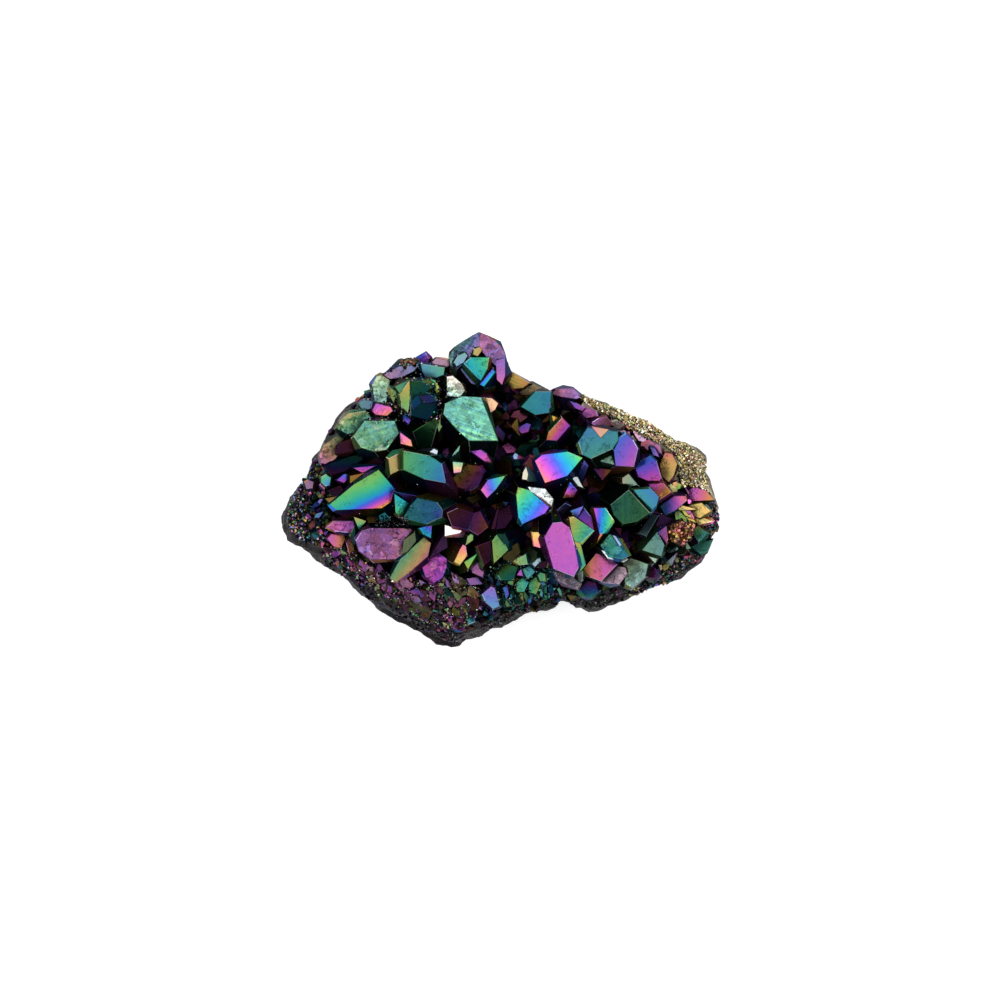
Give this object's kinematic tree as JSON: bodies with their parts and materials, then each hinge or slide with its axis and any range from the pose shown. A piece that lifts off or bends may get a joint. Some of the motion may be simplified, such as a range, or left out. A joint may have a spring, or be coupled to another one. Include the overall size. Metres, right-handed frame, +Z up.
{
  "type": "titanium aura amethyst cluster",
  "caption": "Cluster of metal-coated iridescent quartz crystals grown together on a flat-based piece of dark rock, a loose mineral specimen.",
  "frame": {"origin": "centre of the bounding box's underside, on the rock's flat base", "axes": "+X along the cluster's longest side, +Y across it towards the overhanging top crystal, +Z up out of the crystals"},
  "size_m": [0.0584, 0.0418, 0.0217],
  "materials": {
    "coated_quartz": "mirror-like metal film on crystal faces, shifting from green and blue to magenta and gold",
    "rock": "rough dark grey volcanic rock with a faint purple film"
  },
  "bodies": {
    "root": {"amethyst_cluster": "coated_quartz"}
  },
  "joints": []
}
